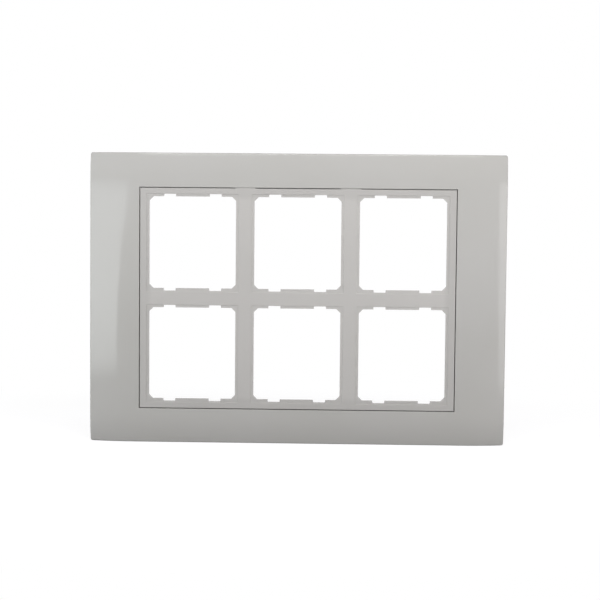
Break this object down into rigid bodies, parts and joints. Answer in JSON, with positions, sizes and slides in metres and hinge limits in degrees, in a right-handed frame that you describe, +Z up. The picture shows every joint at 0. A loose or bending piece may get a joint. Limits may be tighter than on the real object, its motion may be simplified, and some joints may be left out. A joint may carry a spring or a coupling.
{
  "type": "switch plate",
  "caption": "Crowned cover frame snapped over a grid of stepped, notched windows that takes clip-in switch and socket modules over a wall box.",
  "frame": {"origin": "centre of the screw slots, on the wall plane", "axes": "+X to the right seen from the front, +Z up, +Y into the wall"},
  "size_m": [0.22, 0.0105, 0.1536],
  "materials": {
    "cover_plastic": "polished off-white moulding",
    "grid_plastic": "satin off-white moulding"
  },
  "bodies": {
    "root": {"cover_plate": "cover_plastic", "grid_frame": "grid_plastic"}
  },
  "joints": []
}
